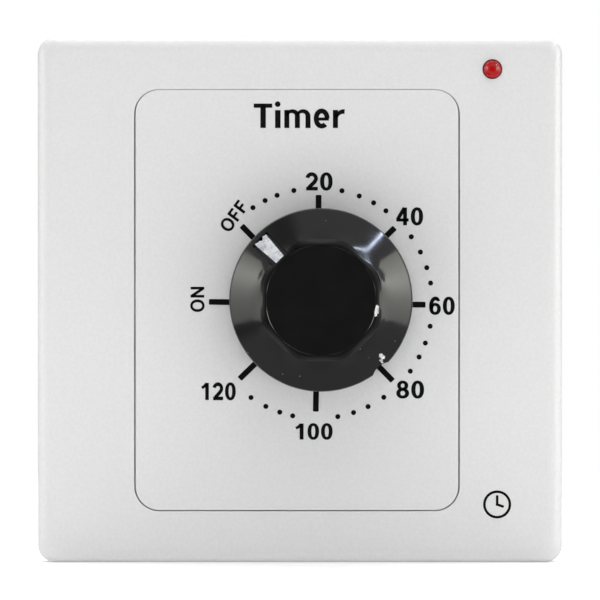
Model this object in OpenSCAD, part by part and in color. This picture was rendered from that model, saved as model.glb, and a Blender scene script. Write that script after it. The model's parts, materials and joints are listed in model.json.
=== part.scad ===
// Wall-mounted 120 minute countdown timer switch, all sizes in millimetres.
// Frame: X to the right, Z up, the front faces -Y, the wall plane is y = 0.
// The origin is the centre of the 86 x 86 plate on the wall plane.

/* [Plate] */
// Side of the square front frame
plate_size = 86; // [80:0.5:90]
// Corner radius of the front frame
plate_corner_r = 2.2; // [1:0.1:6]
// Height of the front face above the wall
plate_height = 8.6; // [7:0.1:12]
// Width of the sloped border around the front face
border_slope_w = 2.4; // [1:0.1:4]
// Height lost over the sloped border
border_slope_h = 1.5; // [0.5:0.1:3]
// Thickness of the front skin and of the dial panel
skin_t = 2.2; // [1.5:0.1:3]
// Thickness of the frame's side walls
wall_t = 1.8; // [1.2:0.1:2.5]

/* [Dial panel] */
// Width of the dial panel
panel_w = 52.9; // [50:0.1:56]
// Height of the dial panel
panel_h = 68.9; // [64:0.1:72]
// Corner radius of the dial panel
panel_r = 3.9; // [2:0.1:6]
// Sideways position of the dial panel's centre
panel_x = -0.5; // [-2:0.1:2]
// Gap all round the dial panel
panel_gap = 0.27; // [0.1:0.01:0.5]

/* [Base plate] */
// Distance between the two wall screws
fixing_pitch = 60.3; // [55:0.1:65]
// Radius of the wall screw slots, for M4 screws
fixing_slot_r = 2.25; // [2:0.05:2.6]
// Distance between the centres of a slot's round ends
fixing_slot_travel = 3.5; // [0:0.1:6]
// Front face of the base plate's web
web_front = -5.5; // [-6:0.1:-4]
// Back face of the base plate's web
web_back = -3; // [-4:0.1:-2]

/* [Knob] */
// Radius of the knob's rim
knob_r = 15; // [13:0.1:17]
// Height of the knob
knob_h = 15; // [12:0.5:20]
// Height of the knob's side below its cone
knob_side_h = 9.6; // [6:0.1:12]
// Radius of the knob's flat top
knob_top_r = 9.2; // [8:0.1:11]
// Radius at which the cone meets the top bevel
knob_bevel_r = 10.4; // [9:0.1:13]
// Gap between the knob and the dial panel
knob_gap = 0.6; // [0.3:0.1:1.5]
// Width of the pointer strip
pointer_w = 2.3; // [1.5:0.1:3]

/* [Spindle] */
// Sideways position of the spindle
spindle_x = 3.4; // [0:0.1:6]
// Height of the spindle above the plate's centre
spindle_z = 0.1; // [-2:0.1:2]
// Radius of the spindle
spindle_r = 3; // [2.5:0.1:3.5]
// Distance from the spindle's axis to its flat
spindle_flat = 1.5; // [1:0.1:2]

/* [Movement] */
// Width of the movement plates
movement_w = 46; // [42:0.5:48]
// Height of the movement plates
movement_h = 52; // [48:0.5:56]
// Sideways position of the movement plates' centre
movement_x = 0.5; // [-2:0.1:2]
// Thickness of each movement plate
movement_t = 1; // [0.8:0.1:1.5]
// Distance between the movement plates
movement_gap = 16; // [14:0.5:20]
// Radius of the arbors' pivots
pivot_r = 0.5; // [0.4:0.05:0.8]
// Radius of the arbors between the pivots
arbor_r = 0.9; // [0.7:0.05:1.2]
// Thickness of the mainspring's strip
spring_t = 0.4; // [0.2:0.05:0.6]
// Number of turns of the mainspring
spring_turns = 5.6; // [4:0.1:8]

/* [Wheels] */
// Teeth of the great wheel
great_teeth = 72; // [72:1:72]
// Teeth of the second wheel
second_teeth = 60; // [60:1:60]
// Teeth of the third wheel
third_teeth = 56; // [56:1:56]
// Teeth of the fourth wheel
fourth_teeth = 48; // [48:1:48]
// Leaves of each pinion
pinion_leaves = 8; // [8:1:8]
// Module of the great wheel and its pinion
great_module = 0.4; // [0.4:0.01:0.4]
// Module of the second wheel and its pinion
second_module = 0.35; // [0.35:0.01:0.35]
// Module of the third and fourth wheels and their pinions
fine_module = 0.3; // [0.3:0.01:0.3]
// Teeth of the escape wheel
escape_teeth = 16; // [16:1:16]
// Radius of the escape wheel's tooth tips
escape_r = 5; // [4.5:0.1:5.5]
// Distance between the escape wheel and the verge
verge_distance = 6.6; // [6:0.1:7]

/* [Switch] */
// Radius of the switch cam
cam_r = 7.6; // [7:0.1:8]
// Distance between the terminals
terminal_pitch = 10.5; // [10:0.1:12]
// Radius of the wire hole through each terminal
wire_hole_r = 1.6; // [1.4:0.1:1.8]

/* [Indicator] */
// Radius of the indicator lamp
led_r = 1.5; // [1.4:0.05:1.6]
// Sideways position of the indicator lamp
led_x = 31.5; // [28:0.1:34]
// Height of the indicator lamp
led_z = 37.8; // [34:0.1:38]

/* [Hidden] */
round_fn = 64;
small_fn = 32;
pressure_angle = 20;
leaf_shift = 0.53;
tooth_thinning = 0.04;
play = 0.05;
front_plate_front = web_back;
front_plate_back = front_plate_front + movement_t;
rear_plate_front = front_plate_back + movement_gap;
rear_plate_back = rear_plate_front + movement_t;
frame_inside = plate_size / 2 - wall_t;
base_half = frame_inside - 0.4;
panel_front = -plate_height;
panel_back = panel_front + skin_t;
knob_back = panel_front - knob_gap;
knob_front = knob_back - knob_h;
cone_low_r = knob_r - 0.6;
cone_low_h = knob_side_h + 0.5;
cone_top_h = knob_h - 1;
cone_tilt = atan2(cone_low_r - knob_bevel_r, cone_top_h - cone_low_h);
great_distance = great_module * (great_teeth + pinion_leaves) / 2;
second_distance = second_module * (second_teeth + pinion_leaves) / 2;
third_distance = fine_module * (third_teeth + pinion_leaves) / 2;
fourth_distance = fine_module * (fourth_teeth + pinion_leaves) / 2;
second_angle = 215;
third_angle = -34.1;
fourth_angle = 4.4;
escape_angle = 36.1;
verge_angle = 62.1;
spindle_at = [spindle_x, spindle_z];
second_at = step_from(spindle_at, great_distance, second_angle);
third_at = step_from(second_at, second_distance, third_angle);
fourth_at = step_from(third_at, third_distance, fourth_angle);
escape_at = step_from(fourth_at, fourth_distance, escape_angle);
verge_at = step_from(escape_at, verge_distance, verge_angle);
pillar_dx = movement_w / 2 - 2.5;
pillar_dz = movement_h / 2 - 2.5;
great_y = [5.6, 6.6];
second_y = [8.2, 9];
third_y = [10.2, 10.9];
fourth_y = [12, 12.7];
escape_y = [8.4, 9];
lever_y = [7.4, 8];
inertia_y = [9.6, 10.6];
cam_y = [15.6, 18.8];
blade_y = [15.9, 18.5];
blade_t = 0.3;
moving_blade_z = 9.2;
fixed_blade_z = 11.3;
button_x = 9.5;
block_x = [-15, 17];
block_z = [13, 25];
block_y = [15.2, 27.2];
terminal_y = [17.5, 26.5];
terminal_z = [14.5, 22.5];
terminal_x0 = 1;
wire_hole_y = 20.5;
post_r = 1;
post_distance = 15.4;
stop_pin_r = 0.8;
stop_pin_distance = 6.4;
stop_lug_half = 15;
escape_pitch = 360 / escape_teeth;
pallet_r = 0.25;
pallet_distance = escape_r + pallet_r + 0.08;
pallet_spread = 1.25 * escape_pitch;
movement_screw_reach = 18;
panel_screw_dx = 22;
panel_screw_dz = 30;
led_back = -4.5;
lead_r = 0.3;
lead_dx = 1.27;
lead_turn_y = -1.6;
sleeve_r = 0.8;
wire_r = 0.55;

// A point reached by going a distance from another point at an angle.
function step_from(p, d, a) = [p[0] + d * cos(a), p[1] + d * sin(a)];

// The involute function, in degrees.
function involute_deg(a) = tan(a) * 180 / PI - a;

// Half the tooth thickness at a radius, as an angle in degrees.
function half_tooth(z, m, shift, radius) =
  let (
    pitch_r = z * m / 2,
    s = m * (PI / 2 + 2 * shift * tan(pressure_angle)) - tooth_thinning
  )
  s / (2 * pitch_r) * 180 / PI + involute_deg(pressure_angle)
  - involute_deg(acos(min(1, pitch_r * cos(pressure_angle) / radius)));

function on_circle(radius, a) = [radius * cos(a), radius * sin(a)];

// Outline of a gear with involute flanks drawn as short chords.
function gear_outline(z, m, shift, tip, root, steps, phase) =
  let (
    base = z * m / 2 * cos(pressure_angle),
    low = max(base, root),
    radii = [for (i = [0:steps]) low + (tip - low) * i / steps]
  )
  [
    for (k = [0:z - 1])
      let (c = phase + k * 360 / z)
      each concat(
        root < low ? [on_circle(root, c - half_tooth(z, m, shift, low))] : [],
        [for (i = [0:steps]) on_circle(radii[i], c - half_tooth(z, m, shift, radii[i]))],
        [for (i = [steps:-1:0]) on_circle(radii[i], c + half_tooth(z, m, shift, radii[i]))],
        root < low ? [on_circle(root, c + half_tooth(z, m, shift, low))] : []
      )
  ];

// Lifts a flat (x, z) drawing into the space between two depths.
module slab(y0, y1) {
  translate([0, y1, 0])
    rotate([90, 0, 0])
      linear_extrude(height = y1 - y0)
        children();
}

// Round bar along Y.
module rod(at, r, y0, y1) {
  translate([at[0], y1, at[1]])
    rotate([90, 0, 0])
      cylinder(h = y1 - y0, r = r, $fn = round_fn);
}

// Ring along Y.
module ring(at, r_out, r_in, y0, y1) {
  difference() {
    rod(at, r_out, y0, y1);
    rod(at, r_in, y0 - 1, y1 + 1);
  }
}

// Rectangle with exact round corners.
module rounded(w, h, r) {
  square([w - 2 * r, h], center = true);
  square([w, h - 2 * r], center = true);
  for (sx = [-1, 1], sy = [-1, 1])
    translate([sx * (w / 2 - r), sy * (h / 2 - r)])
      circle(r = r, $fn = round_fn);
}

// Round-ended slot along X.
module slot(travel, r) {
  square([travel, 2 * r], center = true);
  for (s = [-1, 1])
    translate([s * travel / 2, 0])
      circle(r = r, $fn = round_fn);
}

// Box from two opposite corners.
module box(low, high) {
  translate(low)
    cube(high - low);
}

// Straight round bar between two points.
module bar(a, b, r) {
  d = b - a;
  len = norm(d);
  translate(a)
    rotate([0, acos(d[2] / len), atan2(d[1], d[0])])
      cylinder(h = len, r = r, $fn = small_fn);
}

// Round wire through a list of points.
module wire(points, r) {
  for (i = [0:len(points) - 2])
    bar(points[i], points[i + 1], r);
  for (i = [1:len(points) - 2])
    translate(points[i])
      sphere(r = r, $fn = small_fn);
}

// Brass wheel: the teeth, the bore and round lightening holes.
module wheel(at, z, m, phase, ys, bore, holes, hole_r, hole_at) {
  pitch_r = z * m / 2;
  translate([at[0], 0, at[1]])
    slab(ys[0], ys[1])
      difference() {
        polygon(gear_outline(z, m, -leaf_shift, pitch_r + 0.47 * m, pitch_r - 1.5 * m, 2, phase));
        circle(r = bore, $fn = round_fn);
        for (i = [0:holes - 1])
          rotate(i * 360 / holes + 20)
            translate([hole_at, 0])
              circle(r = hole_r, $fn = round_fn);
      }
}

// Steel arbor with its pivots and its cut pinion.
module arbor(at, m, phase, leaf_y, seat_y) {
  union() {
    rod(at, arbor_r, front_plate_back + 0.2, rear_plate_front - 0.2);
    rod(at, pivot_r, front_plate_front + 0.1, rear_plate_back - 0.1);
    rod(at, arbor_r + 0.6, seat_y[0], seat_y[1]);
    if (m > 0)
      translate([at[0], 0, at[1]])
        slab(leaf_y[0], leaf_y[1])
          polygon(gear_outline(
            pinion_leaves, m, leaf_shift,
            (pinion_leaves / 2 + 1.25) * m, (pinion_leaves / 2 - 0.72) * m, 3, phase
          ));
  }
}

// Pan head screw pointing along Y: the head is at y_head, the shank ends at y_tip.
module screw(at, head_r, head_t, shank_r, y_head, y_tip) {
  way = y_tip > y_head ? 1 : -1;
  top = y_head - way * head_t;
  difference() {
    union() {
      rod(at, head_r, min(y_head, top), max(y_head, top));
      rod(at, shank_r, min(y_head, y_tip), max(y_head, y_tip));
    }
    translate([at[0], top, at[1]])
      cube([2 * head_r + 1, 1.2, 0.7], center = true);
  }
}

function panel_screw_spots() = [
  for (sx = [-1, 1], sz = [-1, 1])
    [panel_x + sx * panel_screw_dx, sz * panel_screw_dz]
];

function movement_screw_spots() = [
  for (s = [-1, 1])
    [spindle_x + s * movement_screw_reach, spindle_z]
];

function pillar_spots() = [
  for (sx = [-1, 1], sz = [-1, 1])
    [movement_x + sx * pillar_dx, spindle_z + sz * pillar_dz]
];

function terminal_spots() = [for (i = [-1:1]) terminal_x0 + i * terminal_pitch];

function block_screw_spots() = [
  for (s = [-1, 1])
    [terminal_x0 + s * terminal_pitch / 2, (block_z[0] + block_z[1]) / 2]
];

// Pivot holes shared by both movement plates.
module pivot_holes() {
  for (at = [second_at, third_at, fourth_at, escape_at, verge_at])
    translate(at)
      circle(r = pivot_r + play, $fn = small_fn);
}

module movement_outline() {
  translate([movement_x, spindle_z])
    rounded(movement_w, movement_h, 3);
}

// Slots that lock the frame onto the base plate's catches.
module catch_boxes(grow) {
  reach = base_half + 0.9;
  for (s = [-1, 1], t = [-1, 1]) {
    box(
      [s * 22 - 5 - grow, t > 0 ? base_half - 0.5 : -reach - grow, 0.8 - grow],
      [s * 22 + 5 + grow, t > 0 ? reach + grow : -base_half + 0.5, 1.6 + grow]
    );
  }
}

// Turns boxes drawn as (x, z, height above the wall) into the model's frame.
module from_wall() {
  rotate([90, 0, 0])
    children();
}

module front_frame() {
  color("white")
    difference() {
      union() {
        slab(-plate_height + border_slope_h, -0.4)
          rounded(plate_size, plate_size, plate_corner_r);
        hull() {
          slab(-plate_height + border_slope_h, -plate_height + border_slope_h + 0.2)
            rounded(plate_size, plate_size, plate_corner_r);
          slab(-plate_height, -plate_height + 0.1)
            rounded(
              plate_size - 2 * border_slope_w, plate_size - 2 * border_slope_w, plate_corner_r
            );
        }
      }
      difference() {
        slab(panel_back, 1)
          rounded(2 * frame_inside, 2 * frame_inside, 1);
        rod([led_x, led_z], led_r + 1.3, panel_back - 1, web_front - 0.1);
      }
      translate([panel_x, 0, 0])
        slab(-plate_height - 1, 1)
          rounded(panel_w + 2 * panel_gap, panel_h + 2 * panel_gap, panel_r + panel_gap);
      rod([led_x, led_z], led_r + 0.03, -plate_height - 1, 0);
      from_wall()
        catch_boxes(0.15);
    }
}

module dial_panel() {
  color("white")
    difference() {
      union() {
        translate([panel_x, 0, 0])
          slab(panel_front, panel_back)
            rounded(panel_w, panel_h, panel_r);
        for (at = panel_screw_spots())
          rod(at, 2.6, panel_back - 0.1, web_front);
      }
      rod(spindle_at, spindle_r + 1.8, panel_front - 1, 0);
      for (at = panel_screw_spots())
        rod(at, 1.05, panel_front + 0.8, 0);
    }
}

module base_plate() {
  color("ivory")
    difference() {
      union() {
        slab(web_front, 0)
          rounded(2 * base_half, 2 * base_half, 0.8);
        from_wall()
          catch_boxes(0);
      }
      difference() {
        slab(web_back, 1)
          rounded(2 * base_half - 4, 2 * base_half - 4, 0.8);
        for (s = [-1, 1])
          translate([s * fixing_pitch / 2, 0, 0])
            slab(web_front, 0)
              slot(fixing_slot_travel, fixing_slot_r + 2.2);
      }
      for (s = [-1, 1])
        translate([s * fixing_pitch / 2, 0, 0])
          slab(web_front - 1, 1)
            slot(fixing_slot_travel, fixing_slot_r);
      rod(spindle_at, 4.6, web_front - 1, 1);
      rod([led_x, led_z], led_r + 2, web_front - 1, 1);
      for (at = movement_screw_spots())
        rod(at, 1.6, web_front - 1, 1);
      for (at = panel_screw_spots())
        rod(at, 1.3, web_front - 1, 1);
    }
}

module panel_screws() {
  color("silver")
    for (at = panel_screw_spots())
      screw(at, 2.3, 1.6, 1, web_back, panel_front + 1);
}

module movement_screws() {
  color("silver")
    for (at = movement_screw_spots())
      screw(at, 2.6, 0.8, 1.45, web_front, front_plate_back + 0.4);
}

module indicator_led() {
  at = [led_x, led_z];
  color("red")
    union() {
      rod(at, led_r, -plate_height + 0.3, led_back);
      translate([led_x, -plate_height + 0.3, led_z])
        sphere(r = led_r, $fn = round_fn);
      rod(at, led_r + 0.4, web_front, led_back);
    }
}

// The two legs of the lamp, bent towards the centre of the plate.
module led_leads() {
  color("silver")
    for (s = [-1, 1])
      wire([
        [led_x + s * lead_dx, led_back, led_z],
        [led_x + s * lead_dx, lead_turn_y, led_z],
        [led_x + s * lead_dx, lead_turn_y, led_z - 4]
      ], lead_r);
}

module led_sleeves() {
  color("black")
    for (s = [-1, 1])
      difference() {
        bar(
          [led_x + s * lead_dx, lead_turn_y, led_z - 6.5],
          [led_x + s * lead_dx, lead_turn_y, led_z - 1.8], sleeve_r
        );
        bar(
          [led_x + s * lead_dx, lead_turn_y, led_z - 7],
          [led_x + s * lead_dx, lead_turn_y, led_z - 4.1], wire_r + 0.01
        );
        bar(
          [led_x + s * lead_dx, lead_turn_y, led_z - 4.2],
          [led_x + s * lead_dx, lead_turn_y, led_z - 1], lead_r + 0.01
        );
      }
}

// Series resistor in the right-hand lead's wire, with its bands as low steps.
module led_resistor() {
  x = led_x + lead_dx;
  color("tan")
    union() {
      bar([x, lead_turn_y, led_z - 13.2], [x, lead_turn_y, led_z - 8.2], 1);
      bar([x, lead_turn_y, led_z - 13.6], [x, lead_turn_y, led_z - 12], 1.2);
      bar([x, lead_turn_y, led_z - 9.4], [x, lead_turn_y, led_z - 7.8], 1.2);
    }
}

// Red wire from the lamp's left leg to the block.
module led_wire_switched() {
  color("firebrick")
    wire([
      [led_x - lead_dx, lead_turn_y, led_z - 4.2],
      [led_x - lead_dx, lead_turn_y, led_z - 7.6],
      [27.4, 2, 26.6],
      [25.6, 10, 24.2],
      [24.8, 17, 20],
      [20.6, wire_hole_y, 16.5],
      [15.4, wire_hole_y, 16.5]
    ], wire_r);
}

// Blue wire from the resistor to the block, with the short length above it.
module led_wire_neutral() {
  x = led_x + lead_dx;
  color("royalblue")
    union() {
      bar([x, lead_turn_y, led_z - 7.78], [x, lead_turn_y, led_z - 4.22], wire_r);
      wire([
        [x, lead_turn_y, led_z - 13.62],
        [x, lead_turn_y, led_z - 15.6],
        [30, 3, 21.5],
        [27.4, 12, 23],
        [26.4, 17.5, 22.4],
        [21.8, wire_hole_y, 21],
        [15.4, wire_hole_y, 21]
      ], wire_r);
    }
}

module front_movement_plate() {
  color("lightgray")
    slab(front_plate_front, front_plate_back)
      difference() {
        movement_outline();
        pivot_holes();
        translate(spindle_at)
          circle(r = 4.51, $fn = round_fn);
        translate(step_from(spindle_at, post_distance, 90))
          circle(r = post_r + 0.01, $fn = small_fn);
        for (at = pillar_spots())
          translate(at)
            circle(r = 1.41, $fn = small_fn);
        for (at = movement_screw_spots())
          translate(at)
            circle(r = 1.47, $fn = small_fn);
      }
}

module rear_movement_plate() {
  color("lightgray")
    slab(rear_plate_front, rear_plate_back)
      difference() {
        movement_outline();
        pivot_holes();
        translate(spindle_at)
          circle(r = 4.51, $fn = round_fn);
        translate(step_from(spindle_at, stop_pin_distance, 90))
          circle(r = stop_pin_r + 0.01, $fn = small_fn);
        for (at = pillar_spots())
          translate(at)
            circle(r = 1.25, $fn = small_fn);
        for (at = block_screw_spots())
          translate(at)
            circle(r = 1.23, $fn = small_fn);
      }
}

module plate_pillars() {
  color("gray")
    for (at = pillar_spots())
      difference() {
        union() {
          rod(at, 2, front_plate_back, rear_plate_front);
          rod(at, 1.4, front_plate_front, front_plate_back + 1);
        }
        rod(at, 1.22, rear_plate_front - 6, rear_plate_front + 1);
      }
}

module pillar_screws() {
  color("silver")
    for (at = pillar_spots())
      screw(at, 2.3, 1.8, 1.2, rear_plate_back, rear_plate_front - 5);
}

module front_spindle_bush() {
  color("gold")
    difference() {
      union() {
        rod(spindle_at, 4.5, web_front - 0.5, front_plate_back);
        rod(spindle_at, 5.8, front_plate_back, front_plate_back + 0.8);
      }
      rod(spindle_at, spindle_r + play, web_front - 2, 0);
    }
}

module rear_spindle_bush() {
  color("gold")
    difference() {
      union() {
        rod(spindle_at, 5, rear_plate_front - 1.2, rear_plate_front);
        rod(spindle_at, 4.5, rear_plate_front, rear_plate_back + 0.2);
      }
      rod(spindle_at, spindle_r + play, rear_plate_front - 2, rear_plate_back + 2);
    }
}

module mainspring_post() {
  color("gray")
    rod(step_from(spindle_at, post_distance, 90), post_r, front_plate_front, 4.6);
}

// Radius of the mainspring's middle line after a number of turns.
function spring_radius(t) =
  let (
    hook = spring_turns - 0.15,
    coil = 4.95 + (13.5 - 4.95) * min(t, hook) / hook,
    out = post_distance + post_r + 0.15 + spring_t / 2
  )
  t < hook ? coil : coil + (out - coil) * min(1, (t - hook) / 0.11);

function spring_angle(t) = 90 + 8 + (spring_turns - t) * 360;

// Spiral strip: fixed inside to the arbor, hooked outside over its post.
module mainspring() {
  steps = 168;
  ts = [for (i = [0:steps]) spring_turns * i / steps];
  color("steelblue")
    translate([spindle_x, 0, spindle_z])
      slab(-0.6, 4)
        polygon(concat(
          [for (t = ts) on_circle(spring_radius(t) - spring_t / 2, spring_angle(t))],
          [for (i = [steps:-1:0])
            on_circle(spring_radius(ts[i]) + spring_t / 2, spring_angle(ts[i]))]
        ));
}

module stop_pin() {
  color("gray")
    rod(step_from(spindle_at, stop_pin_distance, 90), stop_pin_r, 9.9, rear_plate_back);
}

module contact_block() {
  color("dimgray")
    difference() {
      union() {
        box([block_x[0], block_y[0], block_z[0]], [block_x[1], block_y[1], block_z[1]]);
        box([block_x[0], block_y[0], 7.6], [block_x[0] + 5, 20.2, block_z[0] + 1]);
        box([block_x[1] - 4, block_y[0], 9.6], [block_x[1], 20.2, block_z[0] + 1]);
      }
      for (x = terminal_spots()) {
        box(
          [x - 3.2, terminal_y[0] - 0.2, terminal_z[0] - 0.2],
          [x + 3.2, block_y[1] + 1, terminal_z[1] + 0.2]
        );
        bar([x, wire_hole_y, terminal_z[1]], [x, wire_hole_y, block_z[1] + 1], wire_hole_r + 0.2);
        box(
          [x - wire_hole_r - 0.2, wire_hole_y, terminal_z[1]],
          [x + wire_hole_r + 0.2, block_y[1] + 1, block_z[1] + 1]
        );
      }
      for (at = block_screw_spots())
        rod(at, 1.3, block_y[0] - 1, block_y[1] + 1);
      box(
        [block_x[0] + 0.9, blade_y[0] - 0.05, moving_blade_z - 0.02],
        [block_x[0] + 6, blade_y[1] + 0.05, moving_blade_z + blade_t + 0.02]
      );
      box(
        [block_x[1] - 5, blade_y[0] - 0.05, fixed_blade_z - 0.02],
        [block_x[1] - 0.9, blade_y[1] + 0.05, fixed_blade_z + blade_t + 0.02]
      );
      for (z = [16.5, 21])
        bar([15.3, wire_hole_y, z], [block_x[1] + 1, wire_hole_y, z], wire_r + 0.1);
    }
}

module block_screws() {
  color("silver")
    for (at = block_screw_spots())
      screw(at, 2, 1.6, 1.2, block_y[1], rear_plate_front - 0.4);
}

module moving_contact_blade() {
  color("goldenrod")
    difference() {
      box(
        [block_x[0] + 1, blade_y[0], moving_blade_z],
        [12.4, blade_y[1], moving_blade_z + blade_t]
      );
      for (x = [spindle_x, button_x])
        bar(
          [x, 17.2, moving_blade_z - 1], [x, 17.2, moving_blade_z + 1],
          0.61
        );
    }
}

module moving_contact_button() {
  color("silver")
    union() {
      bar(
        [button_x, 17.2, moving_blade_z + blade_t],
        [button_x, 17.2, moving_blade_z + blade_t + 0.6], 1.25
      );
      bar([button_x, 17.2, moving_blade_z - 0.2], [button_x, 17.2, moving_blade_z + blade_t], 0.6);
    }
}

// Pad under the blade that drops into the cam's notch when the timer is off.
module cam_follower_pad() {
  low = spindle_z + cam_r - 0.95;
  color("white")
    union() {
      box([spindle_x - 1, 16, low + 1], [spindle_x + 1, 18.4, moving_blade_z]);
      rod([spindle_x, low + 1], 1, 16, 18.4);
      bar([spindle_x, 17.2, moving_blade_z], [spindle_x, 17.2, moving_blade_z + blade_t], 0.6);
      bar(
        [spindle_x, 17.2, moving_blade_z + blade_t],
        [spindle_x, 17.2, moving_blade_z + blade_t + 0.4], 1
      );
    }
}

module fixed_contact_blade() {
  color("goldenrod")
    difference() {
      box(
        [7.6, blade_y[0], fixed_blade_z],
        [block_x[1] - 1, blade_y[1], fixed_blade_z + blade_t]
      );
      bar(
        [button_x, 17.2, fixed_blade_z - 1], [button_x, 17.2, fixed_blade_z + 1],
        0.61
      );
    }
}

module fixed_contact_button() {
  color("silver")
    union() {
      bar([button_x, 17.2, fixed_blade_z - 0.5], [button_x, 17.2, fixed_blade_z], 1.25);
      bar([button_x, 17.2, fixed_blade_z], [button_x, 17.2, fixed_blade_z + blade_t + 0.2], 0.6);
    }
}

module terminal_clamps() {
  color("gold")
    for (x = terminal_spots())
      difference() {
        box([x - 3, terminal_y[0], terminal_z[0]], [x + 3, terminal_y[1], terminal_z[1]]);
        bar([x, wire_hole_y, terminal_z[0] - 1], [x, wire_hole_y, terminal_z[1] + 1], wire_hole_r);
        rod([x, (terminal_z[0] + terminal_z[1]) / 2], 1.23, wire_hole_y, terminal_y[1] + 1);
      }
}

module terminal_screws() {
  color("silver")
    for (x = terminal_spots())
      screw(
        [x, (terminal_z[0] + terminal_z[1]) / 2], 2, 1.5, 1.2,
        terminal_y[1], wire_hole_y + wire_hole_r + 0.3
      );
}

// Half profile of the knob's outside, as (radius, height above its rim).
function knob_outside() = [
  [0, 0], [knob_r, 0], [knob_r, 1], [knob_r - 0.2, knob_side_h], [cone_low_r, cone_low_h],
  [knob_bevel_r, cone_top_h], [knob_top_r, knob_h], [0, knob_h]
];

// Block lying on the cone at the off position, seen as (outwards, width, height).
module on_cone(depth, proud, half_w, low, high) {
  translate([spindle_x, knob_back, spindle_z])
    rotate([90, 0, 0])
      rotate([0, 0, 135])
        translate([cone_low_r, 0, cone_low_h])
          rotate([0, -cone_tilt, 0])
            translate([-depth, -half_w, low])
              cube([depth + proud, 2 * half_w, high - low]);
}

module knob() {
  color("black")
    difference() {
      union() {
        difference() {
          translate([spindle_x, knob_back, spindle_z])
            rotate([90, 0, 0])
              rotate_extrude($fn = round_fn)
                polygon(knob_outside());
          translate([spindle_x, knob_back, spindle_z])
            rotate([90, 0, 0])
              rotate_extrude($fn = round_fn)
                polygon([
                  [0, -1], [knob_r - 1.8, -1], [knob_r - 1.8, cone_low_h - 1.6],
                  [knob_bevel_r - 1.2, cone_top_h - 1.6], [0, cone_top_h - 1.6]
                ]);
        }
        rod(spindle_at, 5.6, knob_front + 1, knob_back);
        translate([spindle_x, 0, spindle_z])
          for (a = [0:60:120])
            rotate([0, a, 0])
              box([-9.6, knob_front + 1, -0.6], [9.6, knob_back - 2, 0.6]);
      }
      difference() {
        rod(spindle_at, spindle_r + 0.03, knob_front + 2.2, 0);
        translate([spindle_x, 0, spindle_z])
          rotate([0, -45, 0])
            box([-4, knob_front, spindle_flat + 0.35], [4, knob_back + 1, 4]);
      }
      on_cone(0.35, 1, pointer_w / 2 + 0.05, 0.95, 9);
      rod(step_from(spindle_at, knob_r + 0.9, -45), 1.65, knob_front, 0);
    }
}

module knob_pointer_strip() {
  color("silver")
    on_cone(0.35, -0.05, pointer_w / 2, 1, 5.5);
}

module knob_spring_clip() {
  color("steelblue")
    translate([spindle_x, 0, spindle_z])
      rotate([0, -45, 0])
        box(
          [-1.4, knob_front + 3.5, spindle_flat + 0.03],
          [1.4, knob_back - 1.5, spindle_flat + 0.33]
        );
}

module spindle() {
  color("silver")
    difference() {
      rod(spindle_at, spindle_r, knob_front + 2.4, 20.2);
      translate([spindle_x, 0, spindle_z])
        rotate([0, -45, 0])
          box([-4, knob_front, spindle_flat], [4, -9, 4]);
      for (y = [-7, 19])
        ring(spindle_at, spindle_r + 1, spindle_r - 0.4, y - 0.05, y + 0.65);
    }
}

// Open snap ring in a groove of the spindle.
module circlip(y) {
  difference() {
    ring(spindle_at, spindle_r + 1.2, spindle_r - 0.38, y, y + 0.6);
    box([spindle_x - 1.2, y - 1, spindle_z - 6], [spindle_x + 1.2, y + 2, spindle_z]);
  }
}

module front_circlip() {
  color("dimgray")
    circlip(-7);
}

module rear_circlip() {
  color("dimgray")
    circlip(19);
}

module spring_arbor() {
  color("gray")
    union() {
      ring(spindle_at, 4.7, spindle_r + 0.01, -0.9, 4.3);
      ring(spindle_at, 7.4, spindle_r + 0.01, 4.3, great_y[0]);
    }
}

module great_wheel() {
  color("gold")
    wheel(
      spindle_at, great_teeth, great_module, second_angle, great_y, spindle_r + 0.02,
      6, 2, 10.6
    );
}

// Dished friction washer between the great wheel and the stop collar.
module clutch_washer() {
  color("steelblue")
    translate([spindle_x, great_y[1], spindle_z])
      rotate([-90, 0, 0])
        rotate_extrude($fn = round_fn)
          polygon([[3.05, 0.5], [7.2, 0], [7.2, 0.3], [3.05, 0.8]]);
}

// Collar that loads the clutch; its lug meets the stop pin at each end of travel.
module stop_collar() {
  color("gray")
    translate([spindle_x, 0, spindle_z])
      union() {
        slab(great_y[1] + 0.8, 9.8)
          difference() {
            circle(r = 4.8, $fn = round_fn);
            circle(r = spindle_r + 0.01, $fn = round_fn);
          }
        slab(9.8, 11.4)
          difference() {
            union() {
              circle(r = 4.8, $fn = round_fn);
              rotate(22.5)
                polygon([
                  [0, 0],
                  on_circle(7.1, -stop_lug_half),
                  on_circle(7.3, 0),
                  on_circle(7.1, stop_lug_half)
                ]);
            }
            circle(r = spindle_r + 0.01, $fn = round_fn);
          }
      }
}

module switch_cam() {
  notch = cam_r - 1.1;
  color("ivory")
    translate([spindle_x, 0, spindle_z])
      slab(cam_y[0], cam_y[1])
        difference() {
          circle(r = cam_r, $fn = round_fn);
          circle(r = spindle_r + 0.01, $fn = round_fn);
          polygon([[-1.3, notch], [1.3, notch], [3.4, notch + 1.5], [-3.4, notch + 1.5]]);
        }
}

module second_arbor() {
  color("silver")
    arbor(second_at, great_module, second_angle + 180 + 180 / pinion_leaves, [5.1, 7.4], [7.6, 8.2]);
}

module second_wheel() {
  color("gold")
    wheel(
      second_at, second_teeth, second_module, third_angle, second_y, arbor_r + 0.01,
      5, 1.8, 6.2
    );
}

module third_arbor() {
  color("silver")
    arbor(third_at, second_module, third_angle + 180 + 180 / pinion_leaves, [7.8, 9.4], [9.6, 10.2]);
}

module third_wheel() {
  color("gold")
    wheel(
      third_at, third_teeth, fine_module, fourth_angle, third_y, arbor_r + 0.01,
      5, 1.4, 4.8
    );
}

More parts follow.
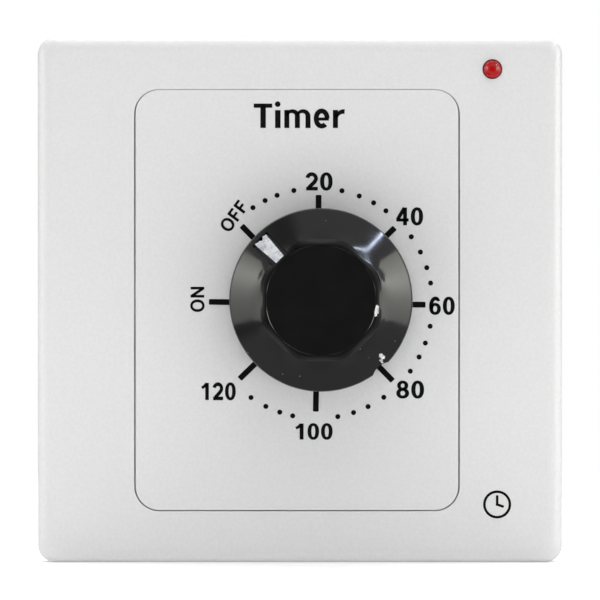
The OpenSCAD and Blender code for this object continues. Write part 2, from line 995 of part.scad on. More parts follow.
module fourth_arbor() {
  color("silver")
    arbor(fourth_at, fine_module, fourth_angle + 180 + 180 / pinion_leaves, [9.8, 11.3], [11.4, 12]);
}

module fourth_wheel() {
  color("gold")
    wheel(
      fourth_at, fourth_teeth, fine_module, escape_angle, fourth_y, arbor_r + 0.01,
      5, 1.2, 4
    );
}

module escape_arbor() {
  color("silver")
    arbor(escape_at, fine_module, escape_angle + 180 + 180 / pinion_leaves, [11.6, 13.2], [9, 9.6]);
}

// Escape wheel with one narrow pointed tooth aimed at the verge.
module escape_wheel() {
  color("gold")
    translate([escape_at[0], 0, escape_at[1]])
      slab(escape_y[0], escape_y[1])
        difference() {
          polygon([
            for (k = [0:escape_teeth - 1])
              let (c = verge_angle + k * escape_pitch)
              each [
                on_circle(escape_r - 1.3, c - 5.5),
                on_circle(escape_r, c - 0.5),
                on_circle(escape_r, c + 0.5),
                on_circle(escape_r - 1.3, c + 5.5)
              ]
          ]);
          circle(r = arbor_r + 0.01, $fn = round_fn);
        }
}

module verge_arbor() {
  color("silver")
    arbor(verge_at, 0, 0, [0, 1], [8, 9.6]);
}

// Two arms with a pallet pin at each end, in front of the escape wheel.
module verge_lever() {
  pins = [
    for (s = [-1, 1])
      step_from(escape_at, pallet_distance, verge_angle + s * pallet_spread)
  ];
  color("lightsteelblue")
    difference() {
      union() {
        rod(verge_at, 1.9, lever_y[0], lever_y[1]);
        for (p = pins) {
          d = p - verge_at;
          translate([verge_at[0], 0, verge_at[1]])
            slab(lever_y[0], lever_y[1])
              rotate(atan2(d[1], d[0]))
                translate([0, -0.55])
                  square([norm(d), 1.1]);
          rod(p, 0.55, lever_y[0], lever_y[1]);
          rod(p, pallet_r, lever_y[0], escape_y[1] + 0.2);
        }
      }
      rod(verge_at, arbor_r + 0.01, lever_y[0] - 1, lever_y[1] + 1);
    }
}

// Bar that sets the rate by its inertia.
module verge_inertia_bar() {
  color("gray")
    difference() {
      union() {
        box(
          [verge_at[0] - 1.1, inertia_y[0], verge_at[1] - 5.4],
          [verge_at[0] + 1.1, inertia_y[1], verge_at[1] + 5.4]
        );
        rod(verge_at, 1.9, inertia_y[0], inertia_y[1]);
      }
      rod(verge_at, arbor_r + 0.01, inertia_y[0] - 1, inertia_y[1] + 1);
    }
}

front_frame();
dial_panel();
base_plate();
panel_screws();
movement_screws();
indicator_led();
led_leads();
led_sleeves();
led_resistor();
led_wire_switched();
led_wire_neutral();
front_movement_plate();
rear_movement_plate();
plate_pillars();
pillar_screws();
front_spindle_bush();
rear_spindle_bush();
mainspring_post();
mainspring();
stop_pin();
contact_block();
block_screws();
moving_contact_blade();
moving_contact_button();
cam_follower_pad();
fixed_contact_blade();
fixed_contact_button();
terminal_clamps();
terminal_screws();
knob();
knob_pointer_strip();
knob_spring_clip();
spindle();
front_circlip();
rear_circlip();
spring_arbor();
great_wheel();
clutch_washer();
stop_collar();
switch_cam();
second_arbor();
second_wheel();
third_arbor();
third_wheel();
fourth_arbor();
fourth_wheel();
escape_arbor();
escape_wheel();
verge_arbor();
verge_lever();
verge_inertia_bar();
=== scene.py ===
import json
import math

import bmesh
import bpy
import numpy as np
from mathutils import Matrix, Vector


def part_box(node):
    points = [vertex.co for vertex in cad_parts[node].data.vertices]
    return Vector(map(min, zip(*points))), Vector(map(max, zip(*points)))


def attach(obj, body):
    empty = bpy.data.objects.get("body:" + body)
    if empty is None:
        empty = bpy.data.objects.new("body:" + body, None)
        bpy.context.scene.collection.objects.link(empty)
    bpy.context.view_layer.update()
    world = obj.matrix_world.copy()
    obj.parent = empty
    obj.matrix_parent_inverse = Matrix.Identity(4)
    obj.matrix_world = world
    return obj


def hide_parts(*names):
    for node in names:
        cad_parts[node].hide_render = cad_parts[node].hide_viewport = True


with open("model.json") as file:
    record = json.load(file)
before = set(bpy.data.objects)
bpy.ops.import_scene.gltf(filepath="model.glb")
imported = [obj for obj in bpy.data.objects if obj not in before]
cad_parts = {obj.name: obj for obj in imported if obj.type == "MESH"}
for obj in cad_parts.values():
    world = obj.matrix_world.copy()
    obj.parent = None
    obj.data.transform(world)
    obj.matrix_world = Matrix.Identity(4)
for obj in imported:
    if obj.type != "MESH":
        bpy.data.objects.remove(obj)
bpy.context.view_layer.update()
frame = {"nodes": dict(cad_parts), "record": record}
mm = 0.001
print("frame loaded:", len(frame["nodes"]), "nodes")


# small tools

def linearColour(hexText):
    # sRGB hex to linear light, with full alpha
    value = np.array([int(hexText[i:i + 2], 16) for i in (1, 3, 5)]) / 255
    value = np.where(value <= 0.04045, value / 12.92, ((value + 0.055) / 1.055) ** 2.4)
    return (*value.tolist(), 1.0)


def boxOf(node):
    # lowest and highest corner of a CAD node, in mm
    low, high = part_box(node)
    return np.array(low) / mm, np.array(high) / mm


def addNode(tree, kind, values=None, wires=None, **settings):
    # one node with its settings, its fixed inputs and its links
    node = tree.nodes.new(kind)
    for key, value in settings.items():
        setattr(node, key, value)
    for key, value in (values or {}).items():
        node.inputs[key].default_value = value
    for key, source in (wires or {}).items():
        tree.links.new(source, node.inputs[key])
    return node


def gridFaces(rows, columns, closeRows=False, closeColumns=True):
    # quads between neighbouring points of a grid, either way round closed or open
    i = np.arange(rows if closeRows else rows - 1)
    j = np.arange(columns if closeColumns else columns - 1)
    i, j = np.meshgrid(i, j, indexing="ij")
    nextI, nextJ = (i + 1) % rows, (j + 1) % columns
    quads = np.stack([i * columns + j, nextI * columns + j,
                      nextI * columns + nextJ, i * columns + nextJ], -1)
    return quads.reshape(-1, 4)


def makeMesh(name, points, faces):
    # points in mm, faces as a list of index arrays
    mesh = bpy.data.meshes.new(name)
    flat = [face for block in faces
            for face in (block if isinstance(block, list) else block.tolist())]
    mesh.from_pydata((np.asarray(points) * mm).tolist(), [], flat)
    mesh.validate()
    obj = bpy.data.objects.new(name, mesh)
    bpy.context.scene.collection.objects.link(obj)
    return obj


def outward(obj):
    # turns every face outwards
    work = bmesh.new()
    work.from_mesh(obj.data)
    bmesh.ops.remove_doubles(work, verts=work.verts, dist=1e-7)
    bmesh.ops.recalc_face_normals(work, faces=work.faces)
    work.to_mesh(obj.data)
    work.free()
    return obj


def cutOrJoin(obj, tools, way):
    # boolean with each tool in turn, baked into the mesh; the tools are removed
    for tool in tools:
        change = obj.modifiers.new("change", "BOOLEAN")
        change.operation = way
        change.solver = "EXACT"
        change.object = tool
        seen = obj.evaluated_get(bpy.context.evaluated_depsgraph_get())
        made = bpy.data.meshes.new_from_object(seen)
        obj.modifiers.clear()
        made.name = obj.data.name + "Cut"
        obj.data = made
        bpy.data.objects.remove(tool)


def finishPiece(obj, body, slotName, stoodFor=(), angle=32):
    # smooth shading up to an angle, the slot's material where it has none, then its body; the
    # nodes it replaces are hidden
    obj.data.shade_smooth()
    obj.data.set_sharp_from_angle(angle=math.radians(angle))
    if not obj.data.materials:
        obj.data.materials.append(finishes[slotName])
    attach(obj, body)
    if stoodFor:
        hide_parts(*stoodFor)
    return obj


def roundedLoop(width, height, radius, y, centre=(0, 0), perCorner=14):
    # a round-cornered rectangle at depth y: each corner is a quarter circle, the sides join them
    quarter = np.arange(4)[:, None] * math.pi / 2
    angle = quarter + np.linspace(0, math.pi / 2, perCorner)[None, :]
    signX = np.array([1, -1, -1, 1])[:, None]
    signZ = np.array([1, 1, -1, -1])[:, None]
    x = centre[0] + signX * (width / 2 - radius) + radius * np.cos(angle)
    z = centre[1] + signZ * (height / 2 - radius) + radius * np.sin(angle)
    return np.stack([x, np.full_like(x, y), z], -1).reshape(-1, 3)


def circleLoop(radius, y, centre, count):
    # a circle at depth y whose points start at the same corner as the rounded loops
    perCorner = count // 4
    quarter = np.arange(4)[:, None] * math.pi / 2
    angle = (quarter + np.linspace(0, math.pi / 2, perCorner, endpoint=False)[None, :]
             + math.pi / 4 / perCorner)
    x, z = centre[0] + radius * np.cos(angle), centre[1] + radius * np.sin(angle)
    return np.stack([x, np.full_like(x, y), z], -1).reshape(-1, 3)


def rodMesh(name, radius, y0, y1, centre, count=64):
    # closed bar along Y
    rings = np.stack([circleLoop(radius, y, centre, count) for y in (y0, y1)])
    points = rings.reshape(-1, 3)
    caps = [np.arange(count)[None, :], np.arange(count, 2 * count)[None, ::-1]]
    return outward(makeMesh(name, points, [gridFaces(2, count), *caps]))


def boxMesh(name, low, high):
    # a plain block between two corners
    corners = [[x, y, z] for x in (low[0], high[0]) for y in (low[1], high[1])
               for z in (low[2], high[2])]
    faces = np.array([[0, 1, 3, 2], [4, 6, 7, 5], [0, 4, 5, 1],
                      [2, 3, 7, 6], [0, 2, 6, 4], [1, 5, 7, 3]])
    return outward(makeMesh(name, corners, [faces]))


def revolve(name, profile, centre, segments, wave=None):
    # a profile of (radius, depth) turned round Y; wave gives each ring's change of radius
    profile = np.asarray(profile, float)
    turn = np.linspace(0, 2 * math.pi, segments, endpoint=False)
    inner = profile[1:-1]
    radius = inner[:, 0][:, None] + (0 if wave is None else wave(inner, turn))
    x = centre[0] + radius * np.cos(turn)
    z = centre[1] + radius * np.sin(turn)
    y = np.repeat(inner[:, 1][:, None], segments, 1)
    points = np.concatenate([np.stack([x, y, z], -1).reshape(-1, 3),
                             [[centre[0], profile[0, 1], centre[1]],
                              [centre[0], profile[-1, 1], centre[1]]]])
    rows = len(inner)
    ring = np.arange(segments)
    after = (ring + 1) % segments
    base = (rows - 1) * segments
    first = np.stack([np.full(segments, rows * segments), ring, after], -1)
    last = np.stack([np.full(segments, rows * segments + 1), base + after, base + ring], -1)
    return outward(makeMesh(name, points, [gridFaces(rows, segments), first, last]))


def spread(points, step):
    # adds points along a broken line so that none are further apart than step
    points = np.asarray(points, float)
    out = [points[:1]]
    for a, b in zip(points[:-1], points[1:]):
        count = max(1, int(np.ceil(np.linalg.norm(b[:2] - a[:2]) / step)))
        share = np.arange(1, count + 1)[:, None] / count
        out.append(a + (b - a) * share)
    return np.concatenate(out)


def unitCircle(count):
    # (x, z) points of a circle of radius 1
    ring = np.linspace(0, 2 * math.pi, count, endpoint=False)
    return np.column_stack([np.cos(ring), np.sin(ring)])


def atDepth(points, y):
    # (x, z) points put at depth y
    return np.column_stack([points[:, 0], np.full(len(points), y), points[:, 1]])


def turned(outline, centre, angle):
    # (along, across) points laid at an angle in degrees about a centre
    turn = math.radians(angle)
    out = np.array([math.cos(turn), math.sin(turn)])
    side = np.array([-math.sin(turn), math.cos(turn)])
    return [np.array(centre) + out * u + side * v for u, v in outline]


# materials

finishes = {}


def startMaterial(name, base, roughness, **constants):
    material = bpy.data.materials.new(name)
    material.use_nodes = True
    tree = material.node_tree
    shader = tree.nodes["Principled BSDF"]
    shader.inputs["Base Color"].default_value = linearColour(base)
    shader.inputs["Roughness"].default_value = roughness
    for key, value in constants.items():
        shader.inputs[key.replace("_", " ")].default_value = value
    place = addNode(tree, "ShaderNodeTexCoord").outputs["Object"]
    return material, tree, shader, place


def colourRamp(tree, source, stops, kind="LINEAR"):
    # colour over a 0 to 1 value, through (spot, colour) stops
    ramp = addNode(tree, "ShaderNodeValToRGB", None, {"Fac": source})
    ramp.color_ramp.interpolation = kind
    elements = ramp.color_ramp.elements
    elements.remove(elements[1])
    for i, (spot, colour) in enumerate(stops):
        element = elements[0] if i == 0 else elements.new(spot)
        element.position = spot
        element.color = colour
    return ramp.outputs["Color"]


def greyRamp(tree, source, stops, kind="LINEAR"):
    # the same for (spot, brightness) stops
    return colourRamp(tree, source, [(spot, (v, v, v, 1)) for spot, v in stops], kind)


def tint(tree, shader, place, darker, lighter, size, detail=3.0):
    # colour drifting between two shades over patches of the given size in metres
    noise = addNode(tree, "ShaderNodeTexNoise", {"Scale": 1 / size, "Detail": detail},
                    {"Vector": place})
    drift = colourRamp(tree, noise.outputs["Fac"],
                       [(0.35, linearColour(darker)), (0.65, linearColour(lighter))])
    tree.links.new(drift, shader.inputs["Base Color"])


def gloss(tree, shader, place, low, high, size):
    # roughness drifting between two values, as finger marks and flow lines make it
    noise = addNode(tree, "ShaderNodeTexNoise", {"Scale": 1 / size, "Detail": 4.0},
                    {"Vector": place})
    spreadOut = addNode(tree, "ShaderNodeMapRange",
                        {"From Min": 0.35, "From Max": 0.65, "To Min": low, "To Max": high},
                        {"Value": noise.outputs["Fac"]})
    tree.links.new(spreadOut.outputs["Result"], shader.inputs["Roughness"])


def relief(tree, shader, place, size, height, detail=2.0, edge=0.0):
    # fine bumps of the given width and height in metres, on edges softened by the given radius
    noise = addNode(tree, "ShaderNodeTexNoise", {"Scale": 1 / size, "Detail": detail},
                    {"Vector": place})
    bump = addNode(tree, "ShaderNodeBump", {"Strength": 1.0, "Distance": height},
                   {"Height": noise.outputs["Fac"]})
    if edge:
        soft = addNode(tree, "ShaderNodeBevel", {"Radius": edge}, samples=4)
        tree.links.new(soft.outputs["Normal"], bump.inputs["Normal"])
    tree.links.new(bump.outputs["Normal"], shader.inputs["Normal"])


def stretched(tree, place, scale, turn=(0, 0, 0)):
    # a place squeezed along some axes, for brushed and turned grain
    return addNode(tree, "ShaderNodeMapping", {"Scale": scale, "Rotation": turn},
                   {"Vector": place}).outputs["Vector"]


# ABS moulded in a polished tool: bright white, soft wide reflections, a faint orange peel
material, tree, shader, place = startMaterial("glossyMouldedAbs", "#DDDDDD", 0.24, IOR=1.5)
tint(tree, shader, place, "#DBDBDB", "#DFDFDF", 0.0005)
gloss(tree, shader, place, 0.23, 0.27, 0.0012)
relief(tree, shader, place, 0.0016, 0.0000025, edge=0.00012)
finishes["white_abs"] = material

# the same ABS from a satin tool, a little warmer, with a fine even grain
material, tree, shader, place = startMaterial("satinMouldedAbs", "#D9D8D2", 0.48, IOR=1.53)
tint(tree, shader, place, "#D3D2CB", "#DEDDD7", 0.014)
gloss(tree, shader, place, 0.42, 0.56, 0.006)
relief(tree, shader, place, 0.0005, 0.000012, edge=0.0002)
finishes["base_plastic"] = material

# black ABS polished: deep black with crisp reflections, dust specks and a slight ripple
material, tree, shader, place = startMaterial("polishedBlackAbs", "#0B0B0C", 0.13, IOR=1.52)
gloss(tree, shader, place, 0.1, 0.17, 0.004)
relief(tree, shader, place, 0.0018, 0.000004)
cells = addNode(tree, "ShaderNodeTexVoronoi", {"Scale": 1 / 0.0014}, {"Vector": place})
speck = addNode(tree, "ShaderNodeMapRange",
                {"From Min": 0.05, "From Max": 0.09, "To Min": 1.0, "To Max": 0.0},
                {"Value": cells.outputs["Distance"]})
rare = addNode(tree, "ShaderNodeSeparateColor", None, {"Color": cells.outputs["Color"]})
chosen = addNode(tree, "ShaderNodeMath", {1: 0.9}, {0: rare.outputs["Red"]},
                 operation="GREATER_THAN")
dusty = addNode(tree, "ShaderNodeMath", None,
                {0: speck.outputs["Result"], 1: chosen.outputs["Value"]}, operation="MULTIPLY")
mixed = addNode(tree, "ShaderNodeMix",
                {"A": linearColour("#0B0B0C"), "B": linearColour("#6E6E6A")},
                {"Factor": dusty.outputs["Value"]}, data_type="RGBA")
tree.links.new(mixed.outputs[2], shader.inputs["Base Color"])
finishes["black_abs"] = material
knobGloss = material

# the same black ABS left spark-eroded on the knob's top: matte, no clear reflection
material, tree, shader, place = startMaterial(
    "sparkErodedBlackAbs", "#0A0A0B", 0.5, IOR=1.45, Specular_IOR_Level=0.25)
tint(tree, shader, place, "#090909", "#0B0B0C", 0.005)
gloss(tree, shader, place, 0.46, 0.56, 0.003)
relief(tree, shader, place, 0.00022, 0.00001)
knobMatte = material

# black screen-printing ink: slightly raised, semi-matte, its edge a little uneven
material, tree, shader, place = startMaterial(
    "screenPrintedInk", "#070708", 0.5, IOR=1.45, Specular_IOR_Level=0.2)
tint(tree, shader, place, "#050506", "#0C0C0D", 0.0006)
relief(tree, shader, place, 0.0004, 0.000004)
printInk = material

# hot-stamped aluminium foil strip: pale silver, softly mirrored, worn through in places
material, tree, shader, place = startMaterial("stampedFoil", "#E4E3E4", 0.3, Metallic=0.85)
tint(tree, shader, place, "#CDD1DA", "#F6F8FB", 0.0018)
gloss(tree, shader, place, 0.22, 0.5, 0.0006)
relief(tree, shader, place, 0.0003, 0.00001)
finishes["silver_strip"] = material

# black ABS painted pale grey where highlights fall on the knob: painted highlight, rough, uneven
material, tree, shader, place = startMaterial("paintedHighlightAbs", "#D8D8D6", 0.5, IOR=1.5)
tint(tree, shader, place, "#A8A8A6", "#F4F4F2", 0.0005)
relief(tree, shader, place, 0.0002, 0.00002)
knobPaintedHighlight = material

# diffused red epoxy, cast: deep red with a clear skin and a little light passing through
material, tree, shader, place = startMaterial(
    "castRedEpoxy", "#B00307", 0.12, IOR=1.5, Transmission_Weight=0.1,
    Subsurface_Weight=0.2, Subsurface_Scale=0.0005)
tint(tree, shader, place, "#A00206", "#BC0408", 0.001)
relief(tree, shader, place, 0.0008, 0.000003)
finishes["red_lens"] = material

# tinned copper wire: bright grey, drawn, with fine lines along it
material, tree, shader, place = startMaterial("tinnedCopper", "#C9C9C6", 0.28, Metallic=1.0)
tint(tree, shader, stretched(tree, place, (1, 1, 0.15)), "#B4B4B0", "#D6D6D3", 0.0006)
gloss(tree, shader, place, 0.2, 0.38, 0.0008)
finishes["tinned_wire"] = material

# silicone-varnished glass sleeve: dull black with the braid showing
material, tree, shader, place = startMaterial("braidedSleeve", "#1B1B1D", 0.6, IOR=1.45)
weave = addNode(tree, "ShaderNodeTexWave", {"Scale": 700.0, "Distortion": 0.5},
                {"Vector": stretched(tree, place, (1, 1, 1), (0.6, 0.5, 0))})
bump = addNode(tree, "ShaderNodeBump", {"Strength": 0.8, "Distance": 0.00004},
               {"Height": weave.outputs["Fac"]})
tree.links.new(bump.outputs["Normal"], shader.inputs["Normal"])
tint(tree, shader, place, "#161618", "#242427", 0.0005)
finishes["sleeve_black"] = material

# lacquered carbon film resistor: beige enamel with painted value bands round it
resistorLow, resistorHigh = boxOf("led_resistor")
material, tree, shader, place = startMaterial("resistorLacquer", "#C8AA78", 0.32, IOR=1.5)
height = addNode(tree, "ShaderNodeSeparateXYZ", None, {"Vector": place}).outputs["Z"]
share = addNode(tree, "ShaderNodeMapRange",
                {"From Min": resistorLow[2] * mm, "From Max": resistorHigh[2] * mm},
                {"Value": height})
bandStops = [(0.0, "#C8AA78"), (0.16, "#C7A13A"), (0.23, "#C8AA78"), (0.42, "#D8801F"),
             (0.5, "#C8AA78"), (0.58, "#2A2A2A"), (0.66, "#C8AA78"), (0.76, "#6B3A1C"),
             (0.84, "#C8AA78")]
bands = colourRamp(tree, share.outputs["Result"],
                   [(spot, linearColour(hexText)) for spot, hexText in bandStops], "CONSTANT")
tree.links.new(bands, shader.inputs["Base Color"])
gloss(tree, shader, place, 0.26, 0.42, 0.001)
finishes["resistor_body"] = material

# PVC wire insulation, extruded: even colour, soft gloss, slight waviness
for slotName, title, hexes in (
        ("pvc_red", "extrudedRedPvc", ("#96141A", "#A81A20")),
        ("pvc_blue", "extrudedBluePvc", ("#1B3F86", "#224C9A"))):
    material, tree, shader, place = startMaterial(title, hexes[0], 0.38, IOR=1.53)
    tint(tree, shader, place, *hexes, 0.003)
    gloss(tree, shader, place, 0.32, 0.46, 0.002)
    relief(tree, shader, place, 0.0012, 0.00001)
    finishes[slotName] = material

# bright zinc plating on rolled steel: cool silver with rolling lines and cloudy patches
material, tree, shader, place = startMaterial("zincPlatedSteel", "#B9BEC2", 0.3, Metallic=1.0)
tint(tree, shader, place, "#A3A9AE", "#C6CACC", 0.006)
gloss(tree, shader, stretched(tree, place, (0.08, 1, 1)), 0.22, 0.42, 0.0005)
relief(tree, shader, stretched(tree, place, (0.05, 1, 1)), 0.0004, 0.000002, edge=0.00012)
finishes["zinc_steel"] = material

# hardened and blued spring steel: dark blue-grey with straw at the thin places
material, tree, shader, place = startMaterial("bluedSpringSteel", "#3E4A5C", 0.28, Metallic=1.0)
tint(tree, shader, place, "#38445A", "#5A5B60", 0.008)
gloss(tree, shader, place, 0.22, 0.38, 0.001)
finishes["spring_steel"] = material

# turned free-cutting steel, lightly oiled: mid grey with fine rings from the tool
material, tree, shader, place = startMaterial("turnedSteel", "#8E8F90", 0.32, Metallic=1.0)
tint(tree, shader, stretched(tree, place, (0.2, 1, 0.2)), "#7D7E80", "#9B9C9D", 0.0006)
gloss(tree, shader, place, 0.24, 0.42, 0.0008)
relief(tree, shader, stretched(tree, place, (0.1, 1, 0.1)), 0.0002, 0.000002, edge=0.00006)
finishes["dark_steel"] = material

# stamped and tumbled brass: warm yellow, tumbling marks and a slight brown tarnish
material, tree, shader, place = startMaterial("tumbledBrass", "#C9A353", 0.3, Metallic=1.0)
tint(tree, shader, place, "#B48B3E", "#D6B468", 0.003)
gloss(tree, shader, place, 0.22, 0.42, 0.0006)
relief(tree, shader, place, 0.0003, 0.000002, edge=0.00005)
finishes["brass"] = material

# compression-moulded phenolic: near-black brown with wood-flour mottling, semi-gloss
material, tree, shader, place = startMaterial("mouldedPhenolic", "#2A211C", 0.36, IOR=1.58)
tint(tree, shader, place, "#1E1815", "#38291F", 0.0012, 6.0)
gloss(tree, shader, place, 0.3, 0.5, 0.002)
relief(tree, shader, place, 0.0005, 0.000008, edge=0.00018)
finishes["phenolic"] = material

# rolled phosphor bronze strip: pinkish gold with lines along the strip
material, tree, shader, place = startMaterial("rolledBronze", "#C08A56", 0.28, Metallic=1.0)
tint(tree, shader, stretched(tree, place, (0.08, 1, 1)), "#AE7A48", "#CD9A66", 0.0007)
gloss(tree, shader, place, 0.2, 0.36, 0.001)
finishes["spring_brass"] = material

# fine silver contact rivet: whitish silver with a grey bloom where it has arced
material, tree, shader, place = startMaterial("contactSilverAlloy", "#D8D7D2", 0.34, Metallic=1.0)
tint(tree, shader, place, "#A5A39E", "#E2E1DC", 0.0006)
gloss(tree, shader, place, 0.26, 0.5, 0.0005)
finishes["contact_silver"] = material

# moulded nylon: milky natural white, waxy, light passing a little into it
material, tree, shader, place = startMaterial(
    "mouldedNylon", "#DAD5C6", 0.42, IOR=1.53, Subsurface_Weight=0.2, Subsurface_Scale=0.001)
tint(tree, shader, place, "#D2CCBB", "#E0DCCF", 0.002)
relief(tree, shader, place, 0.0006, 0.000006, edge=0.00012)
finishes["nylon"] = material

for row in frame["record"]["subparts"]:
    part = frame["nodes"][row["node"]]
    part.data.materials.clear()
    part.data.materials.append(finishes[row["material_slot"]])
print("materials made:", len(finishes))


# front frame

frameShape = dict(
    cornerRadius=2.8,       # of the outside
    faceCornerRadius=3.2,   # where the border meets the flat face
    borderWidth=2.5,        # of the rounded border
    borderDrop=1.9,         # how far the border falls
    windowRadius=4.1,       # of the panel opening
    gapSide=0.2,            # beside the panel
    gapTop=0.05,            # the panel sits against the top of its opening
    gapBottom=0.14,
    windowFillet=0.14,      # rounded edge of the opening
    filletSteps=5,          # of the rounded edges, also the panel's
    hold=0.03,              # from a rounded edge to the loop that keeps the face flat
    lip=0.6,                # depth of the close-fitting edge, also the panel's
    relief=0.8,             # how far the edge steps back below its lip, also the panel's
    reliefSlope=0.15,       # depth over which it steps back
    skin=2.2,               # thickness of the face
    wall=1.8,               # thickness of the sides
    insideRadius=1.0,
    lampHole=1.62,
    steps=12)

frameLow, frameHigh = boxOf("front_frame")
panelLow, panelHigh = boxOf("dial_panel")
faceY, frameBack = frameLow[1], frameHigh[1]
panelCentre = ((panelLow[0] + panelHigh[0]) / 2, (panelLow[2] + panelHigh[2]) / 2)


def frameRings(s):
    # a closed section carried round the plate: side, quarter-ellipse border, face,
    # rounded opening, inside of the skin and inside of the side
    size = frameHigh[0] - frameLow[0]
    rings = [roundedLoop(size, size, s["cornerRadius"], frameBack)]
    sideY = faceY + s["borderDrop"]
    for t in np.linspace(0, math.pi / 2, s["steps"] + 1):
        inset = s["borderWidth"] * (1 - math.cos(t))
        y = sideY - s["borderDrop"] * math.sin(t)
        radius = (s["cornerRadius"]
                  + (s["faceCornerRadius"] - s["cornerRadius"]) * (1 - math.cos(t)))
        rings.append(roundedLoop(size - 2 * inset, size - 2 * inset, radius, y))
    flat = size - 2 * (s["borderWidth"] + s["hold"])
    rings.append(roundedLoop(flat, flat, s["faceCornerRadius"], faceY))
    openW = panelHigh[0] - panelLow[0] + 2 * s["gapSide"]
    openH = panelHigh[2] - panelLow[2] + s["gapTop"] + s["gapBottom"]
    middle = (panelCentre[0], panelCentre[1] + (s["gapTop"] - s["gapBottom"]) / 2)
    fillet, radius = s["windowFillet"], s["windowRadius"]
    grow = 2 * (fillet + s["hold"])
    rings.append(roundedLoop(openW + grow, openH + grow, radius + grow / 2, faceY, middle))
    for t in np.linspace(0, math.pi / 2, s["filletSteps"] + 1):
        grow = 2 * fillet * (1 - math.sin(t))
        y = faceY + fillet * (1 - math.cos(t))
        rings.append(roundedLoop(openW + grow, openH + grow, radius + grow / 2, y, middle))
    backY = faceY + s["skin"]
    wide = 2 * s["relief"]
    rings.append(roundedLoop(openW, openH, radius, faceY + s["lip"], middle))
    for y in (faceY + s["lip"] + s["reliefSlope"], backY):
        rings.append(roundedLoop(openW + wide, openH + wide, radius + wide / 2, y, middle))
    inside = size - 2 * s["wall"]
    rings.append(roundedLoop(inside, inside, s["insideRadius"], backY))
    rings.append(roundedLoop(inside, inside, s["insideRadius"], frameBack))
    return np.stack(rings)


lampLow, lampHigh = boxOf("indicator_led")
lampAt = ((lampLow[0] + lampHigh[0]) / 2, (lampLow[2] + lampHigh[2]) / 2)
rings = frameRings(frameShape)
frontFrame = outward(makeMesh("frontFrame", rings.reshape(-1, 3),
                              [gridFaces(rings.shape[0], rings.shape[1], True)]))
cutOrJoin(frontFrame, [rodMesh("lampHole", frameShape["lampHole"], faceY - 2, 0, lampAt)],
          "DIFFERENCE")
finishPiece(frontFrame, "timer_body", "white_abs", ["front_frame"])
print("front frame made")


# dial panel

panelShape = dict(
    radius=3.9, fillet=0.17,
    tabReach=0.6, tabHold=1.4, tabHalf=5.0,     # tabs that close the view through the gaps
    tabDepth=1.6, tabClear=0.05,
    spindleHole=4.8, holeFillet=0.1,
    screwEdge=2.3,                              # from the edge of the screws' box inwards
    bossRadius=2.6, bossLength=0.9, bossRoot=0.3,
    screwHole=1.05, screwDepth=0.8)

spindleLow, spindleHigh = boxOf("spindle")
spindleAt = ((spindleLow[0] + spindleHigh[0]) / 2, (spindleLow[2] + spindleHigh[2]) / 2)
screwLow, screwHigh = boxOf("panel_screws")


def panelRings(s):
    # outside edge, rounded front edge, face, then through the hole to the flat back
    width, height = panelHigh[0] - panelLow[0], panelHigh[2] - panelLow[2]
    backY = faceY + frameShape["skin"]
    relief, lipY = frameShape["relief"], faceY + frameShape["lip"]
    rings = [roundedLoop(width - 2 * relief, height - 2 * relief, s["radius"] - relief,
                         y, panelCentre)
             for y in (backY, lipY + frameShape["reliefSlope"])]
    rings.append(roundedLoop(width, height, s["radius"], lipY, panelCentre))
    for t in np.linspace(0, math.pi / 2, frameShape["filletSteps"] + 1):
        inset = s["fillet"] * (1 - math.cos(t))
        y = faceY + s["fillet"] * (1 - math.sin(t))
        rings.append(roundedLoop(width - 2 * inset, height - 2 * inset,
                                 s["radius"] - inset, y, panelCentre))
    inset = s["fillet"] + frameShape["hold"]
    rings.append(roundedLoop(width - 2 * inset, height - 2 * inset, s["radius"] - inset,
                             faceY, panelCentre))
    hole, fillet = s["spindleHole"], s["holeFillet"]
    for radius, y in ((hole + fillet, faceY), (hole, faceY + fillet), (hole, backY)):
        rings.append(circleLoop(radius, y, spindleAt, len(rings[0])))
    return np.stack(rings)


rings = panelRings(panelShape)
dialPanel = outward(makeMesh("dialPanel", rings.reshape(-1, 3),
                             [gridFaces(rings.shape[0], rings.shape[1], True)]))
panelBack = faceY + frameShape["skin"]
reach, hold, half = (panelShape[key] for key in ("tabReach", "tabHold", "tabHalf"))
tabSpans = ((panelLow[0] - reach, panelLow[0] + hold), (panelHigh[0] - hold, panelHigh[0] + reach))
cutOrJoin(dialPanel, [boxMesh("tab", (x0, faceY + panelShape["tabDepth"], -half),
                              (x1, panelBack - panelShape["tabClear"], half))
                      for x0, x1 in tabSpans], "UNION")
edge = panelShape["screwEdge"]
screwSpots = [(x, z) for x in (screwLow[0] + edge, screwHigh[0] - edge)
              for z in (screwLow[2] + edge, screwHigh[2] - edge)]
cutOrJoin(dialPanel, [rodMesh("boss", panelShape["bossRadius"],
                              panelBack - panelShape["bossRoot"],
                              panelBack + panelShape["bossLength"], spot, 48)
                      for spot in screwSpots], "UNION")
cutOrJoin(dialPanel, [rodMesh("pilot", panelShape["screwHole"],
                              faceY + panelShape["screwDepth"], 0, spot, 32)
                      for spot in screwSpots], "DIFFERENCE")
finishPiece(dialPanel, "timer_body", "white_abs", ["dial_panel"])
print("dial panel made")


# printed dial

dialShape = dict(
    centre=(2.82, -0.54),   # the print sits a little off the spindle
    lean=-0.75,             # degrees
    tickAngles=(135, 90, 45, 0, -45, -90, -135, 180),
    tickInner=14.2, tickOuter=17.75, tickWidth=0.95, tickCorner=0.12,
    dotCircle=18.87, dotRadius=0.42,
    dotAngles=(123.9, 116.9, 110.4, 101.7, 77.6, 68.6, 60.7, 53.4, 35.3, 26.4, 18.0, 10.1,
               -11.5, -20.2, -27.8, -36.1, -54.7, -63.8, -71.6, -79.7,
               -102.3, -109.0, -116.5, -125.1),
    ink=0.02, inkSunk=0.01)  # in front of the face and into it

